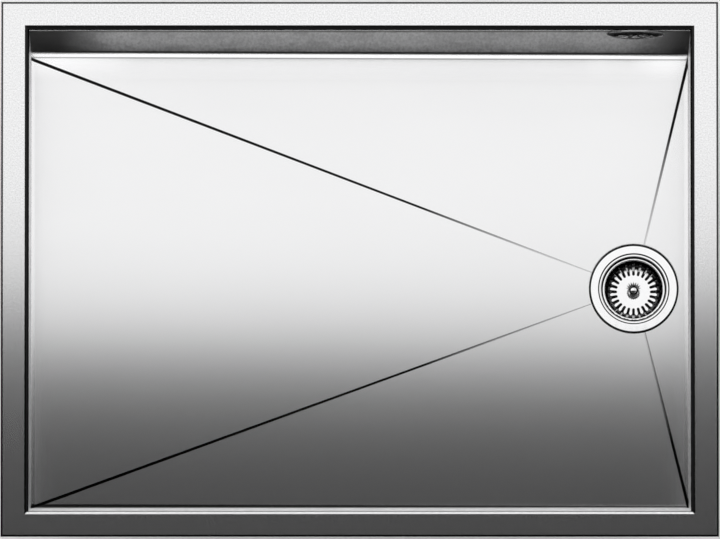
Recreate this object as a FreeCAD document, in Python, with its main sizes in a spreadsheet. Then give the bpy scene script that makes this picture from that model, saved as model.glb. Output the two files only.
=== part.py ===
import FreeCAD, Part
import math
import os
import re
import Sketcher
from FreeCAD import Placement, Rotation, Vector

# Single-bowl stainless steel sink with a basket strainer and an overflow.
# Millimetres. Origin: centre of the rim, in the plane of its top face.
# X runs right towards the drain, Y runs to the rear, Z up.

SIZES = (
    # rim and bowl
    ("rim_width", 762.0, "outer length of the rim along X"),
    ("rim_depth", 572.0, "outer length of the rim along Y"),
    ("rim_border", 25.0, "flat width of the rim at the rear and the sides"),
    ("front_border", 22.8, "flat width of the rim at the front"),
    ("rim_bend", 4.5, "outer radius of the bend from rim to wall"),
    ("sheet_gauge", 1.5, "thickness of the sheet steel"),
    ("lip_drop", 12.0, "depth of the turned-down rim above the wall weld"),
    ("front_lean", 7.4, "lean of the front wall, degrees"),
    ("depth_left", 195.0, "depth of the floor edge at the left wall"),
    ("depth_right", 215.0, "depth of the floor edge at the right wall"),
    ("floor_cove", 4.5, "inner radius between floor and walls"),
    ("cove_rise", 10.0, "height of the turned-up floor edge"),
    ("crease_width", 2.4, "width of a crease at the bowl corner"),
    ("crease_depth", 0.6, "depth of a crease at the bowl corner"),
    ("crease_end_width", 1.3, "width of a crease at the drain"),
    ("crease_start", 6.0, "distance from the corner at which a crease begins"),
    ("crease_inset", 6.3, "rear wall to the ends of the rear creases"),
    # drain place
    ("drain_from_right", 58.2, "drain axis to right wall"),
    ("drain_from_rear", 251.2, "drain axis to rear wall"),
    ("drain_depth", 218.0, "depth at which the floor planes would meet"),
    ("seat_drop", 1.0, "depth of the flange seat below that point"),
    ("seat_gap", 0.6, "gap round the flange in its seat"),
    # strainer cup
    ("strainer_gauge", 1.2, "sheet of the strainer cup"),
    ("flange_radius", 48.0, "flange of the strainer cup"),
    ("flange_round", 0.7, "rounding of the flange edge"),
    ("throat_radius", 37.4, "mouth of the throat"),
    ("throat_round", 0.7, "rounding of the mouth"),
    ("throat_drop", 1.8, "depth of the ledge in the throat"),
    ("ledge_round", 0.6, "rounding of the ledge"),
    ("cup_radius", 34.5, "inside radius of the cup"),
    ("cup_depth", 42.0, "inside depth of the cup"),
    ("cup_corner", 6.0, "inside radius of the cup's bottom corner"),
    ("cup_hole_radius", 4.8, "outlet holes in the cup's bottom"),
    ("cup_hole_circle", 15.0, "radius of the circle of outlet holes"),
    ("flange_seal_gauge", 1.0, "seal under the flange"),
    ("gasket_gauge", 3.0, "gasket between floor and waste body"),
    ("hole_gap", 0.8, "gap between throat and floor hole"),
    # fixing screw of the cup
    ("screw_radius", 3.9, "shank of the fixing screw"),
    ("screw_gap", 0.3, "gap round the shank"),
    ("screw_head_radius", 8.0, "head of the fixing screw"),
    ("screw_head_height", 2.2, "height of the head"),
    ("screw_length", 16.0, "shank below the cup's bottom"),
    ("screw_socket_depth", 10.0, "depth of the socket for the basket post"),
    # waste body
    ("body_flange_radius", 50.0, "clamping flange of the waste body"),
    ("body_flange_gauge", 5.0, "its thickness"),
    ("body_radius", 37.5, "inside radius of the waste body"),
    ("body_wall", 3.2, "wall of the waste body"),
    ("body_straight", 39.0, "straight depth of the waste body"),
    ("body_cone", 16.0, "depth of the cone below"),
    ("outlet_radius", 23.9, "outlet spigot, outside"),
    ("outlet_wall", 3.7, "wall of the outlet spigot"),
    ("outlet_length", 24.0, "length of the outlet spigot"),
    ("hub_radius", 7.5, "hub that takes the fixing screw"),
    ("hub_height", 14.0, "height of the hub"),
    ("hub_gap", 2.0, "gap between cup and hub"),
    ("rib_gauge", 4.0, "thickness of the three ribs"),
    ("gusset_count", 6, "webs under the clamping flange"),
    ("gusset_gauge", 3.0, "thickness of a web"),
    ("gusset_drop", 14.0, "depth of a web"),
    # basket
    ("basket_gauge", 0.8, "sheet of the basket"),
    ("basket_gap", 0.5, "gap between basket lip and cup"),
    ("basket_drop", 7.5, "depth of the basket lip below the flange"),
    ("basket_lip", 3.0, "width of the basket lip"),
    ("basket_taper", 1.6, "taper of the basket wall"),
    ("basket_height", 21.5, "inside depth of the basket"),
    ("basket_corner", 4.0, "inside radius of the basket's bottom corner"),
    ("slot_count", 24, "radial slots"),
    ("slot_width", 2.8, "width of a slot"),
    ("slot_start", 17.6, "radius at which the slots begin"),
    ("slot_rise", 8.0, "height of the slots on the basket wall"),
    ("knob_radius", 4.8, "head of the knob"),
    ("knob_waist", 3.4, "waist of the knob"),
    ("knob_height", 15.0, "height of the knob"),
    ("knob_dome", 4.0, "radius of the knob's dome"),
    ("post_radius", 2.3, "post below the knob"),
    ("post_depth", 19.0, "length of the post below the basket"),
    ("post_grip", 7.0, "length of the post inside the knob"),
    ("post_gap", 0.6, "gap between post and its socket"),
    ("stopper_radius", 24.0, "sealing edge of the stopper"),
    ("stopper_hub", 4.0, "height of the stopper's hub"),
    ("stopper_hub_radius", 7.0, "radius of the stopper's hub"),
    ("stopper_gap", 0.3, "gap between stopper and cup"),
    ("nut_height", 2.4, "nut under the stopper"),
    ("nut_flats", 8.0, "across the flats of the nut"),
    # overflow
    ("overflow_drop", 38.0, "overflow axis below the rim"),
    ("overflow_hole", 24.0, "hole in the rear wall"),
    ("cover_radius", 31.0, "overflow cover"),
    ("cover_proud", 3.0, "height of the cover on the wall"),
    ("cover_gauge", 1.0, "sheet of the cover"),
    ("cover_slot_width", 4.0, "slots in the cover"),
    ("cover_slot_start", 10.0, "inner end of the cover's slots"),
    ("cover_slot_length", 9.0, "straight length of a slot"),
    ("cover_slot_count", 12, "number of slots in the cover"),
    ("cover_screw_radius", 2.4, "screw of the cover"),
    ("cover_screw_head", 4.5, "head of that screw"),
    ("cover_screw_length", 18.0, "length of that screw"),
    ("overflow_seal_gauge", 2.0, "seal between wall and housing"),
    ("housing_radius", 30.0, "overflow housing"),
    ("housing_wall", 2.5, "wall of the housing"),
    ("housing_depth", 23.5, "depth of the housing"),
    ("boss_radius", 5.5, "screw boss in the housing"),
    ("pipe_offset", 15.5, "overflow pipe axis behind the rear wall's face"),
    ("pipe_radius", 9.0, "overflow pipe, outside"),
    ("pipe_wall", 1.7, "wall of the overflow pipe"),
    ("pipe_gap", 0.2, "gap between pipe and spigots"),
    ("pipe_turn", 32.0, "radius of the bend in the pipe"),
    ("spigot_radius", 11.0, "spigots for the pipe, outside"),
    ("spigot_length", 20.0, "length of a spigot"),
    ("spigot_grip", 14.0, "length of pipe inside a spigot"),
    ("pipe_nut_radius", 12.6, "union nuts"),
    ("pipe_nut_grips", 10, "grip ribs on a union nut"),
    ("grip_height", 1.0, "height of a grip rib"),
    ("grip_width", 2.4, "width of a grip rib"),
    ("pipe_nut_length", 14.0, "length of a union nut"),
    ("pipe_nut_grip", 8.0, "length of spigot inside the nut"),
    ("pipe_nut_floor", 2.5, "floor of the nut"),
    ("port_drop", 28.0, "port axis below the strainer flange"),
    ("port_reach", 64.0, "end of the port from the drain axis"),
    # mats
    ("mat_gauge", 3.0, "sound-deadening mats"),
    ("mat_top", 60.0, "upper edge of the wall mats"),
    ("mat_height", 100.0, "height of the wall mats"),
    ("mat_side", 300.0, "length of the side mats"),
    ("mat_long", 440.0, "length of the front and rear mats"),
    ("mat_shift", 60.0, "shift of the long mats away from the overflow"),
    ("mat_edge", 55.0, "floor mats to the edge of the floor"),
    ("mat_crease_gap", 28.0, "floor mats to the creases, along the edge"),
    ("mat_left_gap", 255.0, "left floor mat to the drain axis"),
    ("mat_strip_gap", 62.0, "front and rear floor mats to the drain axis"),
)

# Lengths that follow from the sizes above.
RULES = {
    "bowl_x": "rim_width / 2 - rim_border - rim_bend",
    "bowl_y": "rim_depth / 2 - rim_border - rim_bend",
    "bowl_front": "rim_depth / 2 - front_border - rim_bend",
    "drain_x": "bowl_x - drain_from_right",
    "drain_y": "bowl_y - drain_from_rear",
    "seat_z": "-drain_depth - seat_drop",
    "flange_z": "seat_z + flange_seal_gauge + strainer_gauge",
    "weld_left": "cove_rise - depth_left",
    "weld_right": "cove_rise - depth_right",
    "lean_gauge": "sheet_gauge / cos(front_lean)",
    "drain_hole": "throat_radius + strainer_gauge + hole_gap",
    "gasket_top": "-strainer_gauge - flange_seal_gauge - sheet_gauge",
    "body_top": "gasket_top - gasket_gauge",
    "cone_top": "body_top - body_straight",
    "cone_foot": "cone_top - body_cone",
    "outlet_foot": "cone_foot - outlet_length",
    "outlet_bore": "outlet_radius - outlet_wall",
    "hub_top": "-cup_depth - strainer_gauge - hub_gap",
    "basket_radius": "cup_radius - basket_gap",
    "basket_inside": "basket_radius - basket_lip",
    "basket_low": "basket_inside - basket_taper",
    "basket_floor": "-basket_drop - basket_height",
    "stopper_top": "basket_floor - basket_gauge",
    "stopper_hub_foot": "stopper_top - stopper_hub",
    "stopper_foot": "stopper_gap - cup_depth",
    "knob_top": "basket_floor + knob_height",
    "post_top": "basket_floor + post_grip",
    "post_foot": "basket_floor - post_depth",
    "socket_radius": "post_radius + post_gap",
    "housing_front": "sheet_gauge + overflow_seal_gauge",
    "housing_back": "housing_front + housing_depth",
    "spigot_bore": "pipe_radius + pipe_gap",
    "spigot_foot": "housing_radius + spigot_length - 2",
    "pipe_y": "bowl_y + pipe_offset",
    "pipe_top": "-overflow_drop - spigot_foot + spigot_grip",
    "pipe_low": "flange_z - port_drop",
    "port_y": "drain_y + port_reach",
    "nut_bore": "spigot_radius + pipe_gap",
}

os.makedirs("parts", exist_ok=True)
doc = FreeCAD.newDocument("sink")
sheet = doc.addObject("Spreadsheet::Sheet", "sizes")
for line, (alias, number, note) in enumerate(SIZES, 1):
    sheet.set(f"A{line}", note)
    sheet.set(f"B{line}", str(number))
    sheet.setAlias(f"B{line}", alias)
doc.recompute()
ALIASES = {alias for alias, _, _ in SIZES}
nodes = []


def rule(text):
    """The expression text with every named length traced back to the sheet."""
    def swap(match):
        word = match.group(0)
        if word in RULES:
            return "(" + rule(RULES[word]) + ")"
        return "sizes." + word if word in ALIASES else word
    return re.sub(r"[a-z_]+", swap, str(text))


def size(text):
    """The present value of an expression, in millimetres or degrees."""
    value = sheet.evalExpression(rule(text))
    return float(getattr(value, "Value", value))


def point(x, y, z):
    return Vector(size(x), size(y), size(z))


def new_body(label):
    body = doc.addObject("PartDesign::Body", label)
    body.Label = label
    nodes.append(body)
    return body


def new_shape(label, shape):
    """A sub-part whose form is built from faces and solids."""
    thing = doc.addObject("Part::Feature", label)
    thing.Label = label
    thing.Shape = shape
    nodes.append(thing)
    return thing


def place(thing, x="0", y="0", z="0", turn=None):
    """Put a sub-part in the sink; turn is an axis and an angle."""
    if turn:
        thing.Placement = Placement(Vector(), Rotation(turn[0], 1.0))
        thing.setExpression("Placement.Rotation.Angle", rule(turn[1]))
    for letter, text in zip("xyz", (x, y, z)):
        thing.setExpression(f"Placement.Base.{letter}", rule(text))


def on_drain(body):
    place(body, "drain_x", "drain_y", "flange_z")


def on_overflow(body):
    """Local Z runs out through the rear wall, local Y runs down."""
    place(body, "drain_x", "bowl_y", "-overflow_drop", (Vector(1, 0, 0), "-90"))


def new_sketch(owner, name, plane, lift=None):
    """An empty sketch on one of the owner's own planes."""
    sketch = owner.newObject("Sketcher::SketchObject", name)
    support = next(item for item in owner.Origin.OriginFeatures if item.Role == plane)
    sketch.AttachmentSupport = (support, [""])
    sketch.MapMode = "FlatFace"
    if lift:
        sketch.setExpression("AttachmentOffset.Base.z", rule(lift))
    return sketch


def add_outline(sketch, points, arcs=None):
    """A closed outline through the points; arcs gives a centre for the stretch after a point."""
    arcs = arcs or {}
    places = [Vector(size(x), size(y), 0) for x, y in points]
    count = len(places)
    first = sketch.GeometryCount
    ends = []
    for index, start in enumerate(places):
        stop = places[(index + 1) % count]
        if index not in arcs:
            sketch.addGeometry(Part.LineSegment(start, stop), False)
            ends.append((1, 2))
            continue
        centre = Vector(size(arcs[index][0]), size(arcs[index][1]), 0)
        one = start - centre
        two = stop - centre
        turns_left = one.x * two.y - one.y * two.x > 0
        angles = [math.atan2(one.y, one.x), math.atan2(two.y, two.x)]
        if not turns_left:
            angles.reverse()
        circle = Part.Circle(centre, Vector(0, 0, 1), one.Length)
        sketch.addGeometry(Part.ArcOfCircle(circle, angles[0], angles[1]), False)
        ends.append((1, 2) if turns_left else (2, 1))
    for index in range(count):
        after = (index + 1) % count
        sketch.addConstraint(Sketcher.Constraint(
            "Coincident", first + index, ends[index][1], first + after, ends[after][0]))
    for index, (x, y) in enumerate(points):
        pin(sketch, first + index, ends[index][0], x, y)
    for index, (x, y) in arcs.items():
        hold(sketch, "DistanceX", x, first + index, 3)


def add_circle(sketch, x, y, radius):
    circle = Part.Circle(Vector(size(x), size(y), 0), Vector(0, 0, 1), size(radius))
    index = sketch.addGeometry(circle, False)
    pin(sketch, index, 3, x, y)
    item = sketch.addConstraint(Sketcher.Constraint("Radius", index, size(radius)))
    sketch.setExpression(f"Constraints[{item}]", rule(radius))


def pin(sketch, index, end, x, y):
    hold(sketch, "DistanceX", x, index, end)
    hold(sketch, "DistanceY", y, index, end)


def hold(sketch, kind, text, index, end):
    item = sketch.addConstraint(Sketcher.Constraint(kind, -1, 1, index, end, size(text)))
    sketch.setExpression(f"Constraints[{item}]", rule(text))


def feature(body, kind, name, sketch, length=None, reverse=False, middle=False):
    made = body.newObject("PartDesign::" + kind, name)
    made.Profile = sketch
    made.Reversed = reverse
    if middle:
        made.SideType = "Symmetric"
    if length:
        made.setExpression("Length", rule(length))
    doc.recompute()
    return made


def turned(label, points, arcs=None):
    """A body turned round its own Z axis from a profile of radius and height."""
    body = new_body(label)
    sketch = new_sketch(body, label + "_profile", "XZ_Plane")
    add_outline(sketch, points, arcs)
    made = body.newObject("PartDesign::Revolution", label + "_turned")
    made.Profile = sketch
    made.ReferenceAxis = (sketch, ["V_Axis"])
    made.Angle = 360
    doc.recompute()
    return body


def around(body, cut, sketch, count):
    """Repeat a feature round the body's axis."""
    ring = body.newObject("PartDesign::PolarPattern", cut.Name + "_ring")
    ring.Originals = [cut]
    ring.Axis = (sketch, ["N_Axis"])
    ring.Angle = 360
    ring.setExpression("Occurrences", rule(count))
    body.Tip = ring
    doc.recompute()


def standing_sketch(name, along):
    """A free sketch whose first axis is X or Y and whose second axis is Z."""
    sketch = doc.addObject("Sketcher::SketchObject", name)
    turn = Rotation(Vector(1, 0, 0), 90)
    if along == "Y":
        turn = Rotation(Vector(1, 1, 1), 120)
    sketch.Placement = Placement(Vector(), turn)
    return sketch


def long_prism(name, sketch, length):
    prism = doc.addObject("Part::Extrusion", name)
    prism.Base = sketch
    prism.DirMode = "Normal"
    prism.Symmetric = True
    prism.Solid = True
    prism.setExpression("LengthFwd", rule(length))
    return prism


def together(kind, name, pieces):
    joined = doc.addObject(kind, name)
    joined.Shapes = pieces
    return joined


# Rim: the mouth of the bowl is where two flared prisms cross, so that the bend is mitred
# at the corners; the same pair, one sheet thickness larger, is the outside of the bend.
def mouth(name, side, foot, round_, top, slope):
    """Prism along one axis with a flared top; slope is the lean of its low side."""
    sketch = standing_sketch(name + "_profile", "Y" if slope else "X")
    half = "bowl_y" if slope else "bowl_x"
    low = "bowl_front" if slope else "bowl_x"
    lean = "front_lean" if slope else "0"
    rear = f"({half} + {side})"
    edge = f"({half} + rim_bend)"
    # bend on the low side, tangent to the leaning wall
    front = f"({low} + ({side}) / cos({lean}))"
    start_x = f"-{front} - ({top}) * tan({lean})"
    bend_x = f"({start_x} - ({round_}) * tan(45 - ({lean}) / 2))"
    centre_z = f"(({top}) - ({round_}))"
    touch_x = f"({bend_x} + ({round_}) * cos({lean}))"
    touch_z = f"({centre_z} + ({round_}) * sin({lean}))"
    points = [
        (f"-{front} + ({foot}) * tan({lean})", f"-({foot})"),
        (rear, f"-({foot})"),
        (rear, centre_z),
        (edge, top),
        (edge, "rim_bend"),
        (bend_x, "rim_bend"),
        (bend_x, top),
        (touch_x, touch_z),
    ]
    add_outline(sketch, points, {2: (edge, centre_z), 6: (bend_x, centre_z)})
    return long_prism(name, sketch, "2 * rim_width")


def build_rim():
    plate = doc.addObject("Part::Box", "rim_plate")
    plate.setExpression("Length", rule("rim_width"))
    plate.setExpression("Width", rule("rim_depth"))
    plate.setExpression("Height", rule("sheet_gauge"))
    place(plate, "-rim_width / 2", "-rim_depth / 2", "-sheet_gauge")
    small = "rim_bend - sheet_gauge"
    inside = together("Part::MultiCommon", "mouth_inside", [
        mouth("mouth_x", "0", "lip_drop + 1", "rim_bend", "0", False),
        mouth("mouth_y", "0", "lip_drop + 1", "rim_bend", "0", True)])
    outside = together("Part::MultiCommon", "mouth_outside", [
        mouth("lip_x", "sheet_gauge", "lip_drop", small, "-sheet_gauge", False),
        mouth("lip_y", "sheet_gauge", "lip_drop", small, "-sheet_gauge", True)])
    trim = doc.addObject("Part::Box", "rim_trim")
    trim.setExpression("Length", rule("rim_width"))
    trim.setExpression("Width", rule("rim_depth"))
    trim.setExpression("Height", rule("lip_drop"))
    place(trim, "-rim_width / 2", "-rim_depth / 2", "-lip_drop")
    lip = together("Part::MultiCommon", "rim_lip", [outside, trim])
    blank = together("Part::MultiFuse", "rim_blank", [plate, lip])
    rim = doc.addObject("Part::Cut", "rim_frame")
    rim.Label = "rim_frame"
    rim.Base = blank
    rim.Tool = inside
    rim.Refine = True
    doc.recompute()
    nodes.append(rim)


def build_side_wall(label, side, weld):
    """Left or right wall; side is the sign of X."""
    body = new_body(label)
    sketch = new_sketch(body, label + "_outline", "YZ_Plane", f"{side} * bowl_x")
    front = "-bowl_front - lean_gauge"
    add_outline(sketch, [
        (f"{front} + lip_drop * tan(front_lean)", "-lip_drop"),
        ("bowl_y + sheet_gauge", "-lip_drop"),
        ("bowl_y + sheet_gauge", weld),
        (f"{front} - {weld} * tan(front_lean)", weld)])
    feature(body, "Pad", label + "_sheet", sketch, "sheet_gauge", reverse=side < 0)


def build_rear_wall():
    body = new_body("wall_rear")
    sketch = new_sketch(body, "wall_rear_outline", "XZ_Plane", "-bowl_y")
    add_outline(sketch, [
        ("-bowl_x", "-lip_drop"), ("bowl_x", "-lip_drop"),
        ("bowl_x", "weld_right"), ("-bowl_x", "weld_left")])
    add_circle(sketch, "drain_x", "-overflow_drop", "overflow_hole")
    feature(body, "Pad", "wall_rear_sheet", sketch, "sheet_gauge", reverse=True)


def build_front_wall():
    body = new_body("wall_front")
    sketch = new_sketch(body, "wall_front_section", "YZ_Plane")
    inner = "-bowl_front"
    outer = "-bowl_front - lean_gauge"
    add_outline(sketch, [
        (f"{inner} + lip_drop * tan(front_lean)", "-lip_drop"),
        (f"{inner} - weld_right * tan(front_lean)", "weld_right"),
        (f"{outer} - weld_right * tan(front_lean)", "weld_right"),
        (f"{outer} + lip_drop * tan(front_lean)", "-lip_drop")])
    feature(body, "Pad", "wall_front_sheet", sketch, "2 * bowl_x", middle=True)
    wedge = new_sketch(body, "wall_front_foot", "XZ_Plane")
    add_outline(wedge, [
        ("-bowl_x - 1", "weld_left"), ("-bowl_x", "weld_left"), ("bowl_x", "weld_right"),
        ("bowl_x", "weld_right - 1"), ("-bowl_x - 1", "weld_right - 1")])
    feature(body, "Pocket", "wall_front_trim", wedge, "2 * rim_depth", middle=True)


# Floor: four planes fall to the drain. Each meets its wall in a cove, and the floor is what
# lies between two sets of such regions, one sheet thickness apart.
def floor_corners():
    tilt = "tan(front_lean)"
    return {
        "left_front": point("-bowl_x", f"-bowl_front + depth_left * {tilt}", "-depth_left"),
        "left_rear": point("-bowl_x", "bowl_y - crease_inset", "-depth_left"),
        "right_rear": point("bowl_x", "bowl_y - crease_inset", "-depth_right"),
        "right_front": point("bowl_x", f"-bowl_front + depth_right * {tilt}", "-depth_right"),
        "drain": point("drain_x", "drain_y", "-drain_depth"),
    }


def upward_normal(one, two, three):
    normal = (two - one).cross(three - one).normalize()
    return normal if normal.z > 0 else normal.negative()


def coved_region(start, stop, wall_normal, floor_normal, skin):
    """All the space inside one wall and above one floor plane, with a cove between them."""
    radius = size("floor_cove")
    share = 1 / (1 + wall_normal.dot(floor_normal))
    middle = (wall_normal + floor_normal) * share
    along = (stop - start).normalize()
    reach = 2 * size("rim_width")
    low = start - along * reach
    centre = low + middle * radius
    on_wall = centre - wall_normal * (radius + skin)
    on_floor = centre - floor_normal * (radius + skin)
    between = centre - Vector(middle).normalize() * (radius + skin)
    up = floor_normal - wall_normal * floor_normal.dot(wall_normal)
    inward = wall_normal - floor_normal * floor_normal.dot(wall_normal)
    high = on_wall + up.normalize() * reach
    far = on_floor + inward.normalize() * reach
    cove = Part.Arc(on_wall, between, on_floor).toShape()
    edges = [cove]
    path = [on_floor, far, far + high - on_wall, high, on_wall]
    for one, two in zip(path, path[1:]):
        edges.append(Part.LineSegment(one, two).toShape())
    face = Part.Face(Part.Wire(edges))
    return face.extrude(along * 2 * reach)


def floor_regions(skin):
    spots = floor_corners()
    lean = math.radians(size("front_lean"))
    walls = (
        ("left_front", "left_rear", Vector(1, 0, 0), 0),
        ("right_front", "right_rear", Vector(-1, 0, 0), 0),
        ("left_rear", "right_rear", Vector(0, -1, 0), size("crease_inset")),
        ("left_front", "right_front", Vector(0, math.cos(lean), math.sin(lean)), 0),
    )
    whole = None
    for start, stop, normal, inset in walls:
        plane = upward_normal(spots[start], spots[stop], spots["drain"])
        to_wall = Vector(0, inset, -inset * plane.y / plane.z)
        region = coved_region(spots[start] + to_wall, spots[stop] + to_wall, normal, plane, skin)
        whole = region if whole is None else whole.common(region)
    return whole


def weld_block():
    """Everything below the line on which walls and floor are welded."""
    wide = "rim_width / 2"
    line = [(f"-{wide}", "weld_left"), ("-bowl_x", "weld_left"), ("bowl_x", "weld_right"),
            (wide, "weld_right"), (wide, "-2 * drain_depth"), (f"-{wide}", "-2 * drain_depth")]
    corners = [point(x, "-rim_depth", z) for x, z in line]
    face = Part.Face(Part.makePolygon(corners + corners[:1]))
    return face.extrude(Vector(0, 2 * size("rim_depth"), 0))


def crease(corner, drain):
    """Tapered three-sided tool that presses one crease."""
    start = corner + (drain - corner).normalize() * size("crease_start")
    across = (drain - corner).cross(Vector(0, 0, 1)).normalize()
    ends = []
    for spot, width in ((start, size("crease_width")), (drain, size("crease_end_width"))):
        depth = width * size("crease_depth / crease_width")
        ends.append([
            spot - Vector(0, 0, depth),
            spot + across * width + Vector(0, 0, depth),
            spot - across * width + Vector(0, 0, depth)])
    one, two = ends
    faces = [Part.Face(Part.makePolygon(end + end[:1])) for end in ends]
    for index in range(3):
        after = (index + 1) % 3
        ring = [one[index], one[after], two[after], two[index], one[index]]
        faces.append(Part.Face(Part.makePolygon(ring)))
    return Part.makeSolid(Part.makeShell(faces))


def build_floor():
    gauge = size("sheet_gauge")
    inside = floor_regions(0)
    floor = floor_regions(gauge).common(weld_block())
    spots = floor_corners()
    drain = spots["drain"]
    seat = Vector(drain.x, drain.y, size("seat_z"))
    recess = size("flange_radius + seat_gap")
    deep = size("cup_depth")
    dish = Part.makeCylinder(recess + gauge, deep, seat - Vector(0, 0, gauge))
    floor = floor.fuse(dish).cut(inside)
    for name in ("left_front", "left_rear", "right_front", "right_rear"):
        floor = floor.cut(crease(spots[name], drain))
    floor = floor.cut(Part.makeCylinder(recess, deep, seat))
    floor = floor.cut(Part.makeCylinder(size("drain_hole"), 2 * deep, seat - Vector(0, 0, deep)))
    new_shape("floor_pan", floor.removeSplitter().Solids[0])


def build_strainer_cup():
    gauge = "strainer_gauge"
    corner_x = "cup_radius - cup_corner"
    corner_z = "cup_corner - cup_depth"
    inner = "cup_corner"
    outer = f"(cup_corner + {gauge})"
    body = turned("strainer_cup", [
        ("flange_radius", f"-{gauge}"),
        ("flange_radius", "-flange_round"),
        ("flange_radius - flange_round", "0"),
        ("throat_radius + throat_round", "0"),
        ("throat_radius", "-throat_round"),
        ("throat_radius", "-throat_drop"),
        ("cup_radius + ledge_round", "-throat_drop"),
        ("cup_radius", "-throat_drop - ledge_round"),
        ("cup_radius", corner_z),
        (f"{corner_x} + {inner} * cos(45)", f"{corner_z} - {inner} * sin(45)"),
        (corner_x, "-cup_depth"),
        ("screw_radius + screw_gap", "-cup_depth"),
        ("screw_radius + screw_gap", f"-cup_depth - {gauge}"),
        (corner_x, f"-cup_depth - {gauge}"),
        (f"{corner_x} + {outer} * cos(45)", f"{corner_z} - {outer} * sin(45)"),
        (f"cup_radius + {gauge}", corner_z),
        (f"cup_radius + {gauge}", f"-throat_drop - {gauge}"),
        (f"throat_radius + {gauge}", f"-throat_drop - {gauge}"),
        (f"throat_radius + {gauge}", f"-{gauge}"),
    ])
    sketch = new_sketch(body, "cup_hole", "XY_Plane", f"-cup_depth - {gauge} - 1")
    add_circle(sketch, "cup_hole_circle", "0", "cup_hole_radius")
    cut = feature(body, "Pocket", "cup_holes", sketch, f"{gauge} + 2", reverse=True)
    around(body, cut, sketch, "6")
    on_drain(body)


def build_rings():
    seal_in = "drain_hole + 0.5"
    on_drain(turned("flange_seal", [
        (seal_in, "-strainer_gauge"), ("flange_radius - 1", "-strainer_gauge"),
        ("flange_radius - 1", "-strainer_gauge - flange_seal_gauge"),
        (seal_in, "-strainer_gauge - flange_seal_gauge")]))
    on_drain(turned("body_gasket", [
        (seal_in, "gasket_top"), ("body_flange_radius - 1", "gasket_top"),
        ("body_flange_radius - 1", "body_top"), (seal_in, "body_top")]))


def build_waste_body():
    wall = "body_radius + body_wall"
    body = turned("waste_body", [
        ("body_radius", "body_top"),
        ("body_flange_radius", "body_top"),
        ("body_flange_radius", "body_top - body_flange_gauge"),
        (wall, "body_top - body_flange_gauge"),
        (wall, "cone_top - 2"),
        ("outlet_radius + 2.5", "cone_foot - 1.5"),
        ("outlet_radius", "cone_foot - 4"),
        ("outlet_radius", "outlet_foot + 0.8"),
        ("outlet_radius - 0.8", "outlet_foot"),
        ("outlet_bore", "outlet_foot"),
        ("outlet_bore", "cone_foot"),
        ("body_radius", "cone_top"),
    ])
    hub = new_sketch(body, "hub_outline", "XY_Plane", "hub_top - hub_height")
    add_circle(hub, "0", "0", "hub_radius")
    feature(body, "Pad", "hub", hub, "hub_height")
    rib = new_sketch(body, "rib_outline", "XZ_Plane")
    add_outline(rib, [
        ("hub_radius - 2", "cone_top - 1"), ("body_radius + 0.6", "cone_top - 1"),
        ("outlet_bore + 2.4", "cone_foot"), ("hub_radius - 2", "cone_foot")])
    made = feature(body, "Pad", "rib", rib, "rib_gauge", middle=True)
    turn = new_sketch(body, "rib_axis", "XY_Plane")
    add_circle(turn, "0", "0", "hub_radius")
    around(body, made, turn, "3")
    web = new_sketch(body, "gusset_outline", "XZ_Plane")
    under = "body_top - body_flange_gauge"
    add_outline(web, [
        (f"{wall} - 1", f"{under} + 1"), ("body_flange_radius - 1.5", f"{under} + 1"),
        ("body_flange_radius - 1.5", f"{under} - 1.5"), (f"{wall} - 1", f"{under} - gusset_drop")])
    gusset = feature(body, "Pad", "gusset", web, "gusset_gauge", middle=True)
    around(body, gusset, turn, "gusset_count")
    bore = new_sketch(body, "hub_bore_outline", "XY_Plane", "hub_top + 1")
    add_circle(bore, "0", "0", "screw_radius + 0.1")
    feature(body, "Pocket", "hub_bore", bore, "hub_height + 2")
    port = new_sketch(body, "port_outline", "XZ_Plane", "-port_reach")
    add_circle(port, "0", "-port_drop", "spigot_radius")
    feature(body, "Pad", "port", port, "port_reach - body_radius - 0.1")
    way = new_sketch(body, "port_bore_outline", "XZ_Plane", "-port_reach - 1")
    add_circle(way, "0", "-port_drop", "spigot_bore")
    feature(body, "Pocket", "port_bore", way, "port_reach + 1 - body_radius / 2", reverse=True)
    on_drain(body)


def build_cup_screw():
    head = "screw_head_height - cup_depth"
    on_drain(turned("cup_screw", [
        ("socket_radius", head),
        ("screw_head_radius - 0.7", head),
        ("screw_head_radius", f"{head} - 0.7"),
        ("screw_head_radius", "-cup_depth"),
        ("screw_radius", "-cup_depth"),
        ("screw_radius", "-cup_depth - screw_length"),
        ("0", "-cup_depth - screw_length"),
        ("0", "-cup_depth - screw_socket_depth"),
        ("socket_radius", "-cup_depth - screw_socket_depth"),
    ]))


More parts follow.
